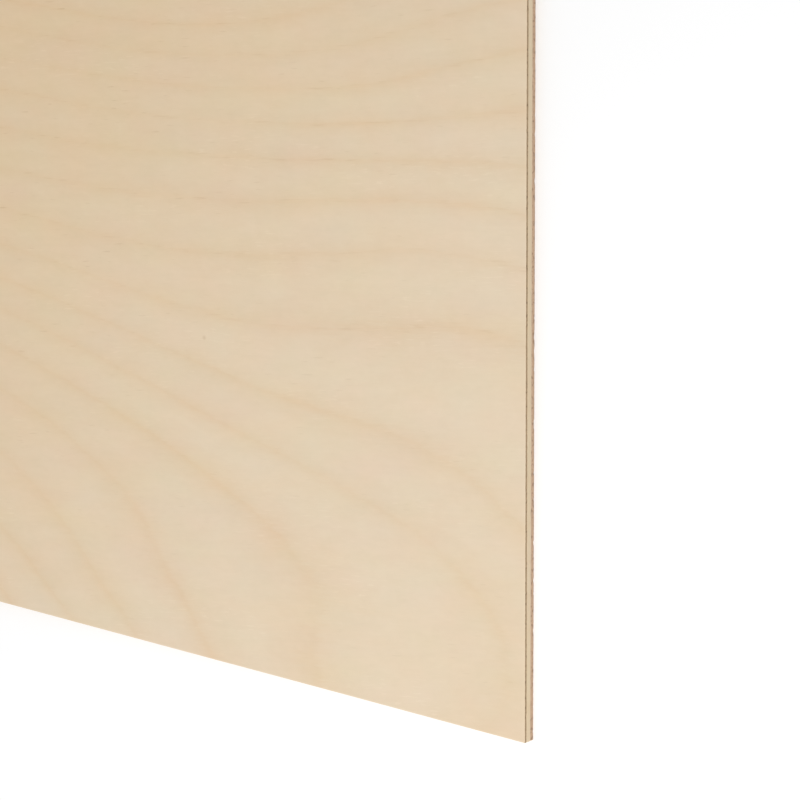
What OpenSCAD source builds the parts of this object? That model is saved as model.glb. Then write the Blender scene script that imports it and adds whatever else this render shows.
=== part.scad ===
// Plywood sheet: three birch veneers glued flat on each other, with the grain of
// the core at right angles to the grain of the face and the back, trimmed square.
//
// The sheet lies on its back. X runs along the grain of the face, Y across it, and
// Z up through the thickness. The origin is at the middle of the underside.

/* [Sheet] */
// Length of the sheet, along the grain of its face
sheet_length = 305; // [100:1:1220]
// Width of the sheet, across the grain of its face
sheet_width = 305; // [100:1:1220]

/* [Plies] */
// Thickness of the face veneer, which is sanded the most
face_thickness = 0.6; // [0.4:0.05:1.6]
// Thickness of the core veneer
core_thickness = 1.4; // [0.8:0.05:3.2]
// Thickness of the back veneer
back_thickness = 1; // [0.4:0.05:1.6]

/* [Hidden] */

// Height of the underside of each veneer: the plies lie on each other, face to face
back_bottom = 0;
core_bottom = back_bottom + back_thickness;
face_bottom = core_bottom + core_thickness;

// Colours of the sanded face, of the long grain of the core and of the back
face_colour = [0.88, 0.80, 0.69];
core_colour = [0.85, 0.76, 0.65];
back_colour = [0.82, 0.73, 0.62];

// One veneer, as large as the sheet, with its underside at the height bottom
module veneer(bottom, thickness) {
    translate([-sheet_length / 2, -sheet_width / 2, bottom])
        cube([sheet_length, sheet_width, thickness]);
}

module face_veneer() {
    color(face_colour) veneer(face_bottom, face_thickness);
}

module core_veneer() {
    color(core_colour) veneer(core_bottom, core_thickness);
}

module back_veneer() {
    color(back_colour) veneer(back_bottom, back_thickness);
}

face_veneer();
core_veneer();
back_veneer();
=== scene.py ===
"""Looks of a thin three-ply birch plywood sheet that lies flat on a white studio floor.

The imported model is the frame: three veneers glued flat on each other. Each one is shown by
a mesh of its own, as large as its solid, with sawn edges and eased arrises that show the
glue lines, and with bare sanded birch from nodes. Lengths are in metres, or in mm where a
name or a comment says so.
"""

import math

import bpy
import numpy as np
from mathutils import Matrix, Vector


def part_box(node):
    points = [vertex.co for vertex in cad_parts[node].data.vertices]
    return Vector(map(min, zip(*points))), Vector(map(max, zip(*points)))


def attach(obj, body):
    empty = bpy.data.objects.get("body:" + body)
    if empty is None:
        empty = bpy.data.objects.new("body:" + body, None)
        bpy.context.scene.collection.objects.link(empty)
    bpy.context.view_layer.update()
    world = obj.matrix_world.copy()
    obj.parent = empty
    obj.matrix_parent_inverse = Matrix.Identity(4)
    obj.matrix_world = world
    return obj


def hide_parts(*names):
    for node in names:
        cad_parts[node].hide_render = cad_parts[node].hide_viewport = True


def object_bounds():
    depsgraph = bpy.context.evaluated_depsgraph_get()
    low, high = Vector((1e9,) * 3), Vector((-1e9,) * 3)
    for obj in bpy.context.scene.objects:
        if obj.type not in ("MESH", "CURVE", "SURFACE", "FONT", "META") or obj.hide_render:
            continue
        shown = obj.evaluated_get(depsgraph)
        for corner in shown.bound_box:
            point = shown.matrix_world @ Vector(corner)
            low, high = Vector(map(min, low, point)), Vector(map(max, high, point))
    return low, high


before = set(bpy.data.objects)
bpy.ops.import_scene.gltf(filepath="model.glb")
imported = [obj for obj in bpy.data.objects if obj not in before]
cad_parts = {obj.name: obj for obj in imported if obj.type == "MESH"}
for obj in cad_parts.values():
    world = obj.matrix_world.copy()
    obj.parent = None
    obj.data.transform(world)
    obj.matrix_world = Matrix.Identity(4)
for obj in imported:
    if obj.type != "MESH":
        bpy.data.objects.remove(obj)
cad_low, cad_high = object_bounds()

MM = 0.001
# The corner of the face that is in view. The camera, the softbox and the figure of the
# wood are placed from it
SEEN_CORNER = Vector((cad_high.x, cad_low.y, cad_high.z))


def add_object(name, data):
    """A new object of this data, in the scene."""
    made = bpy.data.objects.new(name, data)
    bpy.context.scene.collection.objects.link(made)
    return made


# ----------------------------------------------------------------------------- camera

LENS_MM = 252.0
SENSOR_MM = 36.0
# The camera's height over X, as an angle, then its swing towards Y and its roll
TURN = math.radians(49.33)
TILT = math.radians(15.34)
ROLL = math.radians(-0.18)
# Where the seen corner lies along the camera's own right, up and back
CORNER_IN_VIEW_MM = Vector((28.25, -77.67, -1266.8))
NEAREST_SEEN, FARTHEST_SEEN = 0.05, 50


def make_camera():
    """Looks down on the face beside its seen corner, square to neither of its edges."""
    right = Vector((math.sin(TURN), 0, -math.cos(TURN)))
    up = Vector((-math.cos(TURN) * math.sin(TILT), math.cos(TILT), -math.sin(TURN) * math.sin(TILT)))
    right, up = (
        math.cos(ROLL) * right + math.sin(ROLL) * up,
        math.cos(ROLL) * up - math.sin(ROLL) * right,
    )
    turned = Matrix((right, up, right.cross(up))).transposed()
    data = bpy.data.cameras.new("camera")
    data.lens = LENS_MM
    data.sensor_width = SENSOR_MM
    data.clip_start, data.clip_end = NEAREST_SEEN, FARTHEST_SEEN
    camera = add_object("camera", data)
    place = SEEN_CORNER - turned @ (CORNER_IN_VIEW_MM * MM)
    camera.matrix_world = Matrix.Translation(place) @ turned.to_4x4()
    bpy.context.scene.camera = camera


# ----------------------------------------------------------------------------- studio

FLOOR_SIZE = 30.0
FLOOR_GAP = 0.02 * MM
FLOOR_WHITE = 0.93
FLOOR_ROUGHNESS = 0.9
FLOOR_SPECULAR = 0.1
SKY_STRENGTH = 0.65
# The softbox's place from the seen corner, its width, and its power in watts
KEY_PLACE = Vector((0.45, -0.55, 0.75))
KEY_WIDTH = 0.5
KEY_POWER = 8.3


def make_floor():
    floor_mesh = bpy.data.meshes.new("floor")
    half = FLOOR_SIZE / 2
    corners = [(-half, -half, 0), (half, -half, 0), (half, half, 0), (-half, half, 0)]
    floor_mesh.from_pydata(corners, [], [(0, 1, 2, 3)])
    floor = add_object("floor", floor_mesh)
    floor.location.z = cad_low.z - FLOOR_GAP
    white = bpy.data.materials.new("floor_white")
    white.use_nodes = True
    shader = white.node_tree.nodes["Principled BSDF"]
    shader.inputs["Base Color"].default_value = (FLOOR_WHITE, FLOOR_WHITE, FLOOR_WHITE, 1)
    shader.inputs["Roughness"].default_value = FLOOR_ROUGHNESS
    shader.inputs["Specular IOR Level"].default_value = FLOOR_SPECULAR
    floor_mesh.materials.append(white)


def make_lights():
    """An even white surround, and a softbox that lights the seen corner the most."""
    world = bpy.data.worlds.new("studio")
    world.use_nodes = True
    sky = world.node_tree.nodes["Background"]
    sky.inputs["Color"].default_value = (1, 1, 1, 1)
    sky.inputs["Strength"].default_value = SKY_STRENGTH
    bpy.context.scene.world = world
    data = bpy.data.lights.new("key", "AREA")
    data.shape = "SQUARE"
    data.size = KEY_WIDTH
    data.energy = KEY_POWER
    lamp = add_object("key", data)
    lamp.location = SEEN_CORNER + KEY_PLACE
    lamp.rotation_euler = (-KEY_PLACE).to_track_quat("-Z", "Y").to_euler()
    lamp.visible_camera = False


# ----------------------------------------------------------------------------- node help


class Nodes:
    """A material's node tree, built by calls that return output sockets."""

    def __init__(self, name):
        self.material = bpy.data.materials.new(name)
        self.material.use_nodes = True
        self.tree = self.material.node_tree
        self.shader = self.tree.nodes["Principled BSDF"]

    def make(self, kind, **settings):
        """A new node, with these settings."""
        node = self.tree.nodes.new("ShaderNode" + kind)
        for setting, value in settings.items():
            setattr(node, setting, value)
        return node

    def feed(self, socket, value):
        """Links a socket, or sets a number or a tuple on it."""
        if isinstance(value, bpy.types.NodeSocket):
            self.tree.links.new(value, socket)
        else:
            socket.default_value = value

    def math(self, operation, *values):
        node = self.make("Math", operation=operation)
        for socket, value in zip(node.inputs, values):
            self.feed(socket, value)
        return node.outputs[0]

    def vector(self, operation, *values):
        """The vector result, or the number for a dot product or a distance."""
        node = self.make("VectorMath", operation=operation)
        for socket, value in zip(node.inputs, values):
            self.feed(socket, value)
        number = operation in ("DOT_PRODUCT", "DISTANCE")
        return node.outputs["Value" if number else "Vector"]

    def noise(self, place, detail, roughness=0.5):
        """Noise from about -1 to 1 whose features are one unit of place across."""
        node = self.make("TexNoise")
        self.feed(node.inputs["Vector"], place)
        node.inputs["Scale"].default_value = 1.0
        node.inputs["Detail"].default_value = detail
        node.inputs["Roughness"].default_value = roughness
        return self.math("MULTIPLY_ADD", node.outputs["Fac"], 2.0, -1.0)

    def random(self, number):
        """A random number from 0 to 1, the same wherever number is the same."""
        node = self.make("TexWhiteNoise", noise_dimensions="1D")
        self.feed(node.inputs["W"], number)
        return node.outputs["Value"]

    def range(self, value, low, high, to_low=0.0, to_high=1.0):
        """value carried from low..high to to_low..to_high, smoothly, and held at the ends."""
        node = self.make("MapRange", interpolation_type="SMOOTHSTEP")
        for socket, given in zip(node.inputs, (value, low, high, to_low, to_high)):
            self.feed(socket, given)
        return node.outputs["Result"]

    def curve(self, value, points):
        """value, from 0 to 1, read from straight lines through these (position, height) points."""
        node = self.make("ValToRGB")
        ramp = node.color_ramp
        ramp.interpolation = "LINEAR"
        while len(ramp.elements) < len(points):
            ramp.elements.new(0.5)
        for element, (position, height) in zip(ramp.elements, points):
            element.position = position
            element.color = (height, height, height, 1)
        self.feed(node.inputs["Fac"], value)
        return node.outputs["Color"]

    def tint(self, layers):
        """White, changed by each layer: an amount, and its share of red, green and blue."""
        tint = (1.0, 1.0, 1.0)
        for amount, share in layers:
            tint = self.vector("MULTIPLY_ADD", share, amount, tint)
        return tint

    def finish(self, colour, roughness, specular, relief, strength, depth):
        """Sets the shader, with a bump of this relief. Returns the material."""
        self.feed(self.shader.inputs["Base Color"], colour)
        self.feed(self.shader.inputs["Roughness"], roughness)
        self.shader.inputs["Specular IOR Level"].default_value = specular
        bump = self.make("Bump")
        bump.inputs["Strength"].default_value = strength
        bump.inputs["Distance"].default_value = depth
        self.feed(bump.inputs["Height"], relief)
        self.feed(self.shader.inputs["Normal"], bump.outputs["Normal"])
        return self.material


# ----------------------------------------------------------------------------- sanded birch

# Where the growth rings meet the face. They are counted from the seen corner: the count
# rises across the sheet, and long waves bend it. Each wave has its height in rings, its
# length in mm, its heading in degrees from X, and the place of a crest in mm.
RINGS_AT_CORNER = 4.45
RINGS_PER_100_MM = (1.0, 7.0)
RING_WAVES = ((4.5, 420, 118, -100), (0.8, 260, 0, -100), (0.25, 75, 78, 60))
# How far the count wanders, and how ragged the fibres make it, in rings
RING_WANDER = 0.12
RING_RAGGED = 0.07
# How dark a ring is from its start at 0 to the next one's at 1: late wood ends in a line
RING_PROFILE = (
    (0.0, 1.0), (0.05, 0.62), (0.16, 0.3), (0.4, 0.0), (0.62, 0.0), (0.85, 0.38), (0.95, 0.75), (1.0, 1.0),
)
# The least strength of a ring's line, and how much more another ring's may have
LINE_STRENGTH, LINE_SPREAD = 1.15, 0.35
# How weak a line gets in patches along it
PATCH_WEAKEST = 0.6
# All rings fade and come back in a long wave: its length in mm, heading in degrees and crest
FADE_WAVE = (290, 135, 70)
FADED, PLAIN = 0.45, 1.0
# The wood turns amber and pale again in a long wave, given the same way
AMBER_WAVE = (390, 135, 250)
# Picks each ring's own shade apart from its strength
BAND_SEED = 40.5
# Dark strokes lie in a line where it is darker than this. They are faint by the seen corner,
# and get crisp between two distances from it in this heading, in degrees from X
STROKE_LINE = 0.6
STROKE_FAINTEST = 0.15
STROKE_CRISP_MM = (40, 120)
STROKE_HEADING = 90
# How strong the pores are in patches that have next to none, and where the wood is pale
PORES_FAINTEST, PORES_PALE = 0.1, 0.6
# A pin knot in the face: its place from the seen corner, and its radius, in mm
KNOT_AT = (-97.1, 78.5, 0)
KNOT_RADIUS = 0.9

# Each pattern's streaks: their length along the fibres and their width, in mm, the detail of
# their noise, and how far it is moved along the fibres, in mm, where that isn't 0
WANDER_STREAKS = (45, 22, 2.0)
RAGGED_STREAKS = (9, 0.6, 1.0)
STROKE_STREAKS = (7, 0.5, 1.0)
PATCH_STREAKS = (55, 20, 1.0)
CLOUD_STREAKS = (60, 30, 3.0)
BLUSH_STREAKS = (16, 10, 3.0, 300)
SHADE_STREAKS = (14, 8, 3.0, 700)
LILAC_STREAKS = (26, 11, 2.0, 900)
MOTTLE_STREAKS = (7, 2.5, 2.0)
GRIT_STREAKS = (2.4, 1.2, 1.0)
COARSE_STREAKS = (28, 1.1, 2.0)
FINE_STREAKS = (5, 0.4, 2.0)
PORE_STREAKS = (4.2, 0.45, 0.0)
PORE_PATCH_STREAKS = (35, 12, 2.0)
# Painted sheen: the pale flecks that stand for glints off the fibres, and the patches they lie in
SHEEN_FLECK_STREAKS = (3.6, 0.42, 0.0, 500)
SHEEN_FLECK_PATCH_STREAKS = (40, 14, 2.0)

# Between which values of its noise a pattern comes in
STROKE_ONSET = (0.05, 0.5)
PATCH_ONSET = (-0.45, 0.25)
PORE_ONSET = (0.45, 0.7)
PORE_PATCH_ONSET = (0.25, -0.25)
# Where the painted sheen flecks and their patches come in
SHEEN_FLECK_ONSET = (0.3, 0.55)
SHEEN_FLECK_PATCH_ONSET = (-0.1, 0.3)

# Each pattern's share of the wood's own red, green and blue
RING_TINT = (-0.018, -0.053, -0.095)
STROKE_TINT = (-0.060, -0.072, -0.085)
BAND_TINT = (-0.010, -0.018, -0.026)
CLOUD_TINT = (0.022, 0.020, 0.018)
BLUSH_TINT = (0.026, -0.022, -0.028)
SHADE_TINT = (0.022, 0.024, 0.028)
LILAC_TINT = (-0.004, -0.010, 0.034)
MOTTLE_TINT = (0.021, 0.026, 0.036)
GRIT_TINT = (0.019, 0.017, 0.020)
FIBRE_TINT = (0.010, 0.011, 0.013)
PORE_TINT = (-0.070, -0.078, -0.088)
# Painted sheen: the flecks lighten the colour where the fibres would glint
PAINTED_SHEEN_TINT = (0.036, 0.044, 0.056)
KNOT_TINT = (-0.12, -0.15, -0.18)

# How much the coarse fibres count beside the fine ones
COARSE_SHARE = 0.8
FACE_ROUGHNESS = 0.62
FIBRE_ROUGHNESS = 0.04
FACE_SPECULAR = 0.3
FACE_BUMP = 0.35
FACE_BUMP_DEPTH = 0.02 * MM
# How deep a pore is beside the relief of the fibres
PORE_RELIEF = -1.5


def fibre_places(n, place_mm, turn):
    """The same place with X along fibres that run at this angle to the sheet's X."""
    node = n.make("Mapping", vector_type="POINT")
    n.feed(node.inputs["Vector"], place_mm)
    node.inputs["Rotation"].default_value = (0, 0, -turn)
    return node.outputs["Vector"]


def streaks(n, fibres, length_mm, width_mm, detail, shift_mm=0):
    """Noise drawn out along the fibres."""
    scale = (1 / length_mm, 1 / width_mm, 1 / width_mm)
    return n.noise(n.vector("MULTIPLY_ADD", fibres, scale, (shift_mm / length_mm, 0, 0)), detail)


def wave(n, position, length, crest):
    """A cosine of a position, with one crest here and the others this length apart."""
    return n.math("COSINE", n.math("MULTIPLY", n.math("SUBTRACT", position, crest), math.tau / length))


def along(n, place_mm, heading):
    """How far a place lies in this heading, in degrees from X."""
    angle = math.radians(heading)
    return n.vector("DOT_PRODUCT", place_mm, (math.cos(angle), math.sin(angle), 0))


def tide(n, place_mm, length, heading, crest):
    """From 0 in the troughs to 1 on the crests of a long wave over the sheet."""
    return n.math("MULTIPLY_ADD", wave(n, along(n, place_mm, heading), length, crest), 0.5, 0.5)


def ring_count(n, place_mm, fibres):
    """The growth ring that a place is in: a whole number at each ring's start."""
    slope = Vector(RINGS_PER_100_MM).to_3d() / 100
    rings = n.math("ADD", n.vector("DOT_PRODUCT", place_mm, slope), RINGS_AT_CORNER)
    for height, length, heading, crest in RING_WAVES:
        bend = wave(n, along(n, place_mm, heading), length, crest)
        rings = n.math("MULTIPLY_ADD", bend, height, rings)
    rings = n.math("MULTIPLY_ADD", streaks(n, fibres, *WANDER_STREAKS), RING_WANDER, rings)
    return n.math("MULTIPLY_ADD", streaks(n, fibres, *RAGGED_STREAKS), RING_RAGGED, rings)


def ring_pattern(n, place_mm, fibres):
    """The dark of the rings' lines, the strokes in them, and a shade for each ring."""
    rings = ring_count(n, place_mm, fibres)
    line = n.curve(n.math("FRACT", rings), RING_PROFILE)
    broken = n.range(streaks(n, fibres, *STROKE_STREAKS), *STROKE_ONSET)
    crisp = n.range(along(n, place_mm, STROKE_HEADING), *STROKE_CRISP_MM, STROKE_FAINTEST, 1.0)
    stroke = n.math("MULTIPLY", n.math("MULTIPLY", n.range(line, STROKE_LINE, 1.0), broken), crisp)
    strength = n.math("MULTIPLY_ADD", n.random(n.math("ROUND", rings)), LINE_SPREAD, LINE_STRENGTH)
    patchy = n.range(streaks(n, fibres, *PATCH_STREAKS), *PATCH_ONSET, PATCH_WEAKEST, 1.0)
    fade = n.range(tide(n, place_mm, *FADE_WAVE), 0.0, 1.0, FADED, PLAIN)
    line = n.math("MULTIPLY", n.math("MULTIPLY", line, strength), n.math("MULTIPLY", patchy, fade))
    band = n.random(n.math("ADD", n.math("FLOOR", rings), BAND_SEED))
    return line, stroke, band


def pore_pattern(n, fibres, amber):
    """Short dark pores, stronger in patches and where the wood is amber."""
    pore = n.range(streaks(n, fibres, *PORE_STREAKS), *PORE_ONSET)
    patches = streaks(n, fibres, *PORE_PATCH_STREAKS)
    pore = n.math("MULTIPLY", pore, n.range(patches, *PORE_PATCH_ONSET, PORES_FAINTEST, 1.0))
    return n.math("MULTIPLY", pore, n.math("ADD", amber, PORES_PALE))


def painted_sheen_flecks(n, fibres):
    """Painted sheen: short pale flecks that stand for glints off the fibres, painted into the colour, in
    patches only.
    """
    sheen_fleck = n.range(streaks(n, fibres, *SHEEN_FLECK_STREAKS), *SHEEN_FLECK_ONSET)
    patches = n.range(streaks(n, fibres, *SHEEN_FLECK_PATCH_STREAKS), *SHEEN_FLECK_PATCH_ONSET)
    return n.math("MULTIPLY", sheen_fleck, patches)


def birch_face(name, wood, turn, shift_mm, amber_tint):
    """Rotary-cut birch, sanded: amber rings, short pores, painted sheen flecks and a silky fibre.

    turn is the angle of its fibres to X, shift_mm moves its figure over the sheet, and
    amber_tint is how its colour changes where it is amber."""
    n = Nodes(name)
    place = n.make("TexCoord").outputs["Object"]
    from_corner = n.vector("MULTIPLY_ADD", place, (1 / MM, 1 / MM, 1 / MM), tuple(-SEEN_CORNER / MM))
    place_mm = n.vector("ADD", from_corner, (*shift_mm, 0))
    fibres = fibre_places(n, place_mm, turn)

    line, stroke, band = ring_pattern(n, place_mm, fibres)
    amber = tide(n, from_corner, *AMBER_WAVE)
    fine = streaks(n, fibres, *FINE_STREAKS)
    fibre = n.math("MULTIPLY_ADD", streaks(n, fibres, *COARSE_STREAKS), COARSE_SHARE, fine)
    pore = pore_pattern(n, fibres, amber)
    knot = n.range(n.vector("DISTANCE", place_mm, KNOT_AT), KNOT_RADIUS, 0.0)
    layers = (
        (line, RING_TINT),
        (stroke, STROKE_TINT),
        (band, BAND_TINT),
        (streaks(n, fibres, *CLOUD_STREAKS), CLOUD_TINT),
        (streaks(n, fibres, *BLUSH_STREAKS), BLUSH_TINT),
        (streaks(n, fibres, *SHADE_STREAKS), SHADE_TINT),
        (streaks(n, fibres, *LILAC_STREAKS), LILAC_TINT),
        (streaks(n, fibres, *MOTTLE_STREAKS), MOTTLE_TINT),
        (streaks(n, fibres, *GRIT_STREAKS), GRIT_TINT),
        (fibre, FIBRE_TINT),
        (pore, PORE_TINT),
        # Painted sheen flecks, painted into the colour
        (painted_sheen_flecks(n, fibres), PAINTED_SHEEN_TINT),
        (amber, amber_tint),
        (knot, KNOT_TINT),
    )
    colour = n.vector("MULTIPLY", n.tint(layers), wood)
    roughness = n.math("MULTIPLY_ADD", fibre, FIBRE_ROUGHNESS, FACE_ROUGHNESS)
    relief = n.math("MULTIPLY_ADD", pore, PORE_RELIEF, fine)
    return n.finish(colour, roughness, FACE_SPECULAR, relief, FACE_BUMP, FACE_BUMP_DEPTH)


# ----------------------------------------------------------------------------- end grain

# How many features each pattern has in a mm, along X, Y and Z
SPECKLE_SCALE = (2.2, 2.2, 3.5)
BLOTCH_SCALE = (0.35, 0.35, 0.9)
END_PORE_SCALE = (1.3, 1.3, 1.5)
# Its share of the wood's own red, green and blue
SPECKLE_TINT = (0.16, 0.17, 0.18)
BLOTCH_TINT = (0.12, 0.13, 0.13)
END_PORE_TINT = (-0.34, -0.36, -0.38)
# Between which values of its noise a pore comes in
END_PORE_ONSET = (0.08, 0.36)
END_ROUGHNESS = 0.8
SPECKLE_ROUGHNESS = 0.08
END_SPECULAR = 0.2
END_BUMP = 0.6
END_BUMP_DEPTH = 0.04 * MM


def birch_end(name, wood):
    """Sawn end grain: brown and matt, speckled, with pores."""
    n = Nodes(name)
    place = n.make("TexCoord").outputs["Object"]
    place_mm = n.vector("MULTIPLY", place, (1 / MM, 1 / MM, 1 / MM))
    speckle = n.noise(n.vector("MULTIPLY", place_mm, SPECKLE_SCALE), detail=3.0, roughness=0.6)
    blotch = n.noise(n.vector("MULTIPLY", place_mm, BLOTCH_SCALE), detail=2.0)
    pore = n.noise(n.vector("MULTIPLY", place_mm, END_PORE_SCALE), detail=1.0)
    pore = n.range(pore, *END_PORE_ONSET)
    layers = ((speckle, SPECKLE_TINT), (blotch, BLOTCH_TINT), (pore, END_PORE_TINT))
    colour = n.vector("MULTIPLY", n.tint(layers), wood)
    roughness = n.math("MULTIPLY_ADD", speckle, SPECKLE_ROUGHNESS, END_ROUGHNESS)
    relief = n.math("SUBTRACT", speckle, pore)
    return n.finish(colour, roughness, END_SPECULAR, relief, END_BUMP, END_BUMP_DEPTH)


# ----------------------------------------------------------------------------- meshes

# How many points there are to a side, all round a veneer and in the grid on its faces
STEPS_PER_SIDE = 1024
GRID_STEPS = 64
# How far in the first ring with fewer points lies. Each next one lies twice as far in
FIRST_INSET = 0.5 * MM
# The slots of a veneer's two materials
SANDED, SAWN = 0, 1


def ring_of_points(half, inset, height, steps):
    """Points round a rectangle of half sizes half, moved in by inset, steps to each side.

    They run counterclockwise from the corner at -X, -Y. inset and height may be arrays."""
    share = np.tile(np.arange(steps) / steps * 2 - 1, 4)
    side = np.repeat(np.arange(4), steps)
    inset = np.broadcast_to(inset, share.shape)
    x, y = half[0] - inset, half[1] - inset
    return np.stack(
        [
            np.choose(side, [share * x, x, -share * x, -x]),
            np.choose(side, [-y, share * y, y, -share * y]),
            np.broadcast_to(height, share.shape),
        ],
        1,
    )


def smooth_noise(rng, count, period):
    """count numbers from 0 to 1, random at every period of them, that close up smoothly."""
    knots = rng.random(count // period)
    at = np.arange(count) * len(knots) / count
    whole = at.astype(int)
    part = at - whole
    part = part * part * (3 - 2 * part)
    return knots[whole] * (1 - part) + knots[(whole + 1) % len(knots)] * part


class Mesh:
    """Points and faces that are gathered ring by ring. up is whether faces look up."""

    def __init__(self):
        self.points, self.faces, self.slots = [], [], []
        self.count = 0

    def add(self, points):
        """Adds points, and returns their numbers."""
        self.points.append(points)
        self.count += len(points)
        return np.arange(self.count - len(points), self.count)

    def fill(self, faces, slots):
        self.faces.extend(faces.tolist())
        self.slots.extend(np.broadcast_to(slots, len(faces)).tolist())

    def wall(self, lower, upper, slots):
        """Quads between two closed rings with as many points each."""
        after_lower, after_upper = np.roll(lower, -1), np.roll(upper, -1)
        self.fill(np.stack([lower, after_lower, after_upper, upper], 1), slots)

    def thin_out(self, fine, coarse, up):
        """Triangles from a closed ring to one inside it with half as many points."""
        a, b, c = fine[0::2], fine[1::2], np.roll(fine, -2)[0::2]
        e, d = coarse, np.roll(coarse, -1)
        for corners in ((a, b, e), (b, d, e), (b, c, d)):
            self.fill(np.stack(corners if up else corners[::-1], 1), SANDED)

    def grid(self, border, half, inset, height, up):
        """A square grid whose rim is the ring border. height(x, y) gives its inner points."""
        steps = len(border) // 4
        share = np.arange(1, steps) / steps * 2 - 1
        x, y = np.meshgrid(share * (half[0] - inset), share * (half[1] - inset))
        inner = self.add(np.stack([x.ravel(), y.ravel(), height(x, y).ravel()], 1))
        table = np.empty((steps + 1, steps + 1), int)
        table[1:-1, 1:-1] = inner.reshape(steps - 1, steps - 1)
        table[0, :-1] = border[:steps]
        table[:-1, -1] = border[steps : 2 * steps]
        table[-1, :0:-1] = border[2 * steps : 3 * steps]
        table[:0:-1, 0] = border[3 * steps :]
        a, b, c, d = table[:-1, :-1], table[:-1, 1:], table[1:, 1:], table[1:, :-1]
        corners = (a, b, c, d) if up else (a, d, c, b)
        self.fill(np.stack([k.ravel() for k in corners], 1), SANDED)

    def cap(self, rim, half, z, height, up):
        """Closes a veneer's face from its rim inwards: fewer points at each ring, then a grid."""
        steps, inset = STEPS_PER_SIDE, FIRST_INSET / 2
        while steps > GRID_STEPS:
            steps //= 2
            inset *= 2
            inner = self.add(ring_of_points(half, inset, z, steps))
            self.thin_out(rim, inner, up)
            rim = inner
        self.grid(rim, half, inset, height, up)

    def build(self, name, middle, materials):
        """The object, with its points moved to the veneer's middle."""
        data = bpy.data.meshes.new(name)
        data.from_pydata((np.concatenate(self.points) + np.array(middle)).tolist(), [], self.faces)
        for material in materials:
            data.materials.append(material)
        data.polygons.foreach_set("material_index", self.slots)
        data.polygons.foreach_set("use_smooth", [True] * len(self.faces))
        data.update()
        return add_object(name, data)


# ----------------------------------------------------------------------------- veneers

# The sides are numbered counterclockwise, from 0 at -Y
SIDES_ACROSS_X = (1, 3)
SIDES_ACROSS_Y = (0, 2)
# How far an arris is rounded off at a face of the sheet and at a glue line, with this many
# rings of points
ARRIS_EASE = 0.06 * MM
GLUE_EASE = 0.05 * MM
EASE_RINGS = 3
# The long, very shallow waves of a sanded surface: their height, and the radians per metre
# along X and Y of the two that are crossed
SURFACE_WAVE = 0.03 * MM
CROSSED_WAVES = ((47, 11), (-17, 38))
# How deep the saw leaves end grain and long grain rough, and how deep it wanders, with the
# steps round the veneer from one random depth to the next
END_ROUGH, LONG_ROUGH, ROUGH_STEPS = 0.05 * MM, 0.02 * MM, 2
WANDER, WANDER_STEPS = 0.04 * MM, 160
# Long grain lies a little deeper than end grain
LONG_DEPTH = 0.02 * MM
# Chips: the steps between the random numbers of short and of long ones, how high these are
# where a chip starts on end grain and on long grain, and how far from its arris it reaches
SHORT_CHIP_STEPS, LONG_CHIP_STEPS = 5, 24
END_CHIP_ONSET, LONG_CHIP_ONSET = 0.72, 0.66
CHIP_REACH = 0.35 * MM
# Where rings of points lie between the two arrises, as shares of the height there
WALL_LEVELS = (0.25, 0.5, 0.75)


def quarter_round(ease):
    """(height, inset) of an eased arris, from the flat at the bottom to the wall."""
    angles = np.linspace(0, math.pi / 2, EASE_RINGS)
    return [(ease * (1 - math.cos(a)), ease * (1 - math.sin(a))) for a in angles]


def side_profile(thickness, lower_ease, upper_ease):
    """(height, inset) of a veneer's side, from its underside to its top."""
    low = quarter_round(lower_ease)
    high = [(thickness - height, inset) for height, inset in reversed(quarter_round(upper_ease))]
    wall_low, wall_high = low[-1][0], high[0][0]
    return low + [(wall_low + (wall_high - wall_low) * level, 0.0) for level in WALL_LEVELS] + high


def surface_wave(x, y, phase):
    """How far a sanded surface lies under its highest point, from 0 to 1."""
    (x1, y1), (x2, y2) = CROSSED_WAVES
    return 0.5 + 0.5 * np.sin(x * x1 + y * y1 + phase) * np.sin(x * x2 + y * y2 + 2 * phase)


def chip_depths(rng, is_end):
    """From 0 where there is no chip to 1 at the deepest, round a veneer."""
    short = smooth_noise(rng, len(is_end), SHORT_CHIP_STEPS)
    long = smooth_noise(rng, len(is_end), LONG_CHIP_STEPS)
    on_end = (short - END_CHIP_ONSET) / (1 - END_CHIP_ONSET)
    on_long = (long * short - LONG_CHIP_ONSET) / (1 - LONG_CHIP_ONSET)
    return np.clip(np.where(is_end, on_end, on_long), 0, 1)


def add_sides(mesh, rng, profile, half, bottom, is_end, chips):
    """A veneer's sides as the saw and the sander left them. Returns its first and last ring.

    chips are the depths of the chips in its lower and its upper arris."""
    count = len(is_end)
    thickness = profile[-1][0]
    rough = np.where(is_end, END_ROUGH, LONG_ROUGH)
    wander = WANDER * smooth_noise(rng, count, WANDER_STEPS)
    step = np.where(is_end, 0.0, LONG_DEPTH)
    lower_chips, upper_chips = (deepest * chip_depths(rng, is_end) for deepest in chips)
    rings = []
    for height, inset in profile:
        near_low = np.clip(1 - height / CHIP_REACH, 0, 1)
        near_high = np.clip(1 - (thickness - height) / CHIP_REACH, 0, 1)
        depth = inset + wander + step + rough * smooth_noise(rng, count, ROUGH_STEPS)
        depth = depth + near_low * lower_chips + near_high * upper_chips
        rings.append(mesh.add(ring_of_points(half, depth, bottom + height, STEPS_PER_SIDE)))
    top_wall = len(rings) - 2
    for index, (lower, upper) in enumerate(zip(rings, rings[1:])):
        sawn = is_end & (0 < index < top_wall)
        mesh.wall(lower, upper, np.where(sawn, SAWN, SANDED))
    return rings[0], rings[-1]


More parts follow.
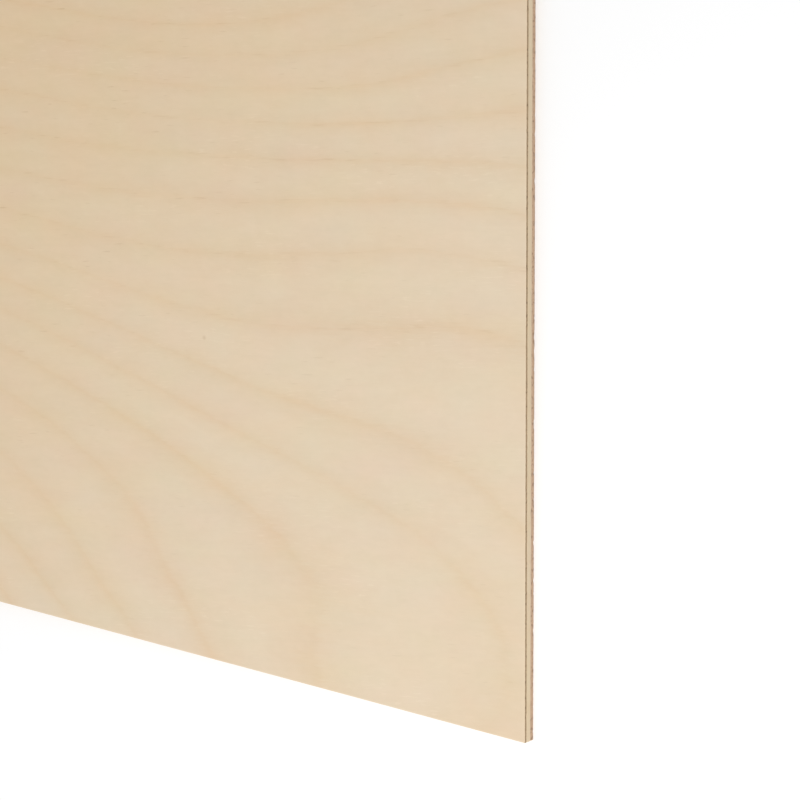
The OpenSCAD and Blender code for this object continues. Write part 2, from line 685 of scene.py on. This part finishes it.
def veneer(name, node, seed, end_sides, eases, chips, materials):
    """One veneer as large as its solid: sanded faces, sawn sides and eased arrises.

    end_sides are the sides with end grain. eases and chips are those of its lower and its
    upper arris. materials holds the one of its faces and long grain, then its end grain's.
    seed starts its random numbers, and moves the waves of its surface."""
    low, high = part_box(node)
    half = ((high.x - low.x) / 2, (high.y - low.y) / 2)
    middle = Vector(((high.x + low.x) / 2, (high.y + low.y) / 2, 0))
    is_end = np.isin(np.repeat(np.arange(4), STEPS_PER_SIDE), end_sides)
    mesh = Mesh()
    profile = side_profile(high.z - low.z, *eases)
    rng = np.random.default_rng(seed)
    bottom, top = add_sides(mesh, rng, profile, half, low.z, is_end, chips)
    mesh.cap(bottom, half, low.z, lambda x, y: np.full(x.shape, low.z), False)
    mesh.cap(top, half, high.z, lambda x, y: high.z - SURFACE_WAVE * surface_wave(x, y, seed), True)
    piece = mesh.build(name, middle, materials)
    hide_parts(node)
    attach(piece, "root")


# ----------------------------------------------------------------------------- sheet

# The colour of each veneer's wood, on its faces and in its end grain
# The face veneer's end grain is darker than the back's: its own end grain and glue line, with painted
# shade of the small recess at the glue line
FACE_BIRCH, FACE_END = (0.702, 0.579, 0.427), (0.345, 0.246, 0.149)
CORE_BIRCH, CORE_END = (0.606, 0.493, 0.341), (0.528, 0.394, 0.282)
BACK_BIRCH, BACK_END = (0.64, 0.51, 0.38), (0.468, 0.322, 0.219)
# How the colour of the outer veneers and of the core changes where it is amber
AMBER_TINT = (-0.022, -0.086, -0.190)
CORE_AMBER_TINT = (0.010, -0.012, -0.030)
# The angle of each veneer's fibres to X, and how far its figure is moved
FACE_TURN, FACE_SHIFT_MM = math.radians(9), (0, 0)
CORE_TURN, CORE_SHIFT_MM = math.radians(93), (40, 300)
BACK_TURN, BACK_SHIFT_MM = math.radians(-5), (-330, 410)
# The deepest chips in each veneer's lower and upper arris
FACE_CHIPS = (0.06 * MM, 0.06 * MM)
CORE_CHIPS = (0.1 * MM, 0.1 * MM)
BACK_CHIPS = (0.2 * MM, 0.1 * MM)
# What sets each veneer apart from the others where it is random
FACE_SEED, CORE_SEED, BACK_SEED = 11, 23, 37


def make_sheet():
    face = birch_face("face_birch", FACE_BIRCH, FACE_TURN, FACE_SHIFT_MM, AMBER_TINT)
    face_end = birch_end("face_birch_end", FACE_END)
    core = birch_face("core_birch", CORE_BIRCH, CORE_TURN, CORE_SHIFT_MM, CORE_AMBER_TINT)
    core_end = birch_end("core_birch_end", CORE_END)
    back = birch_face("back_birch", BACK_BIRCH, BACK_TURN, BACK_SHIFT_MM, AMBER_TINT)
    back_end = birch_end("back_birch_end", BACK_END)
    veneer(
        "face_ply", "face_veneer", FACE_SEED, SIDES_ACROSS_X,
        (GLUE_EASE, ARRIS_EASE), FACE_CHIPS, (face, face_end),
    )
    veneer(
        "core_ply", "core_veneer", CORE_SEED, SIDES_ACROSS_Y,
        (GLUE_EASE, GLUE_EASE), CORE_CHIPS, (core, core_end),
    )
    veneer(
        "back_ply", "back_veneer", BACK_SEED, SIDES_ACROSS_X,
        (ARRIS_EASE, GLUE_EASE), BACK_CHIPS, (back, back_end),
    )


bpy.context.scene.view_settings.view_transform = "Standard"
make_camera()
make_floor()
make_lights()
make_sheet()
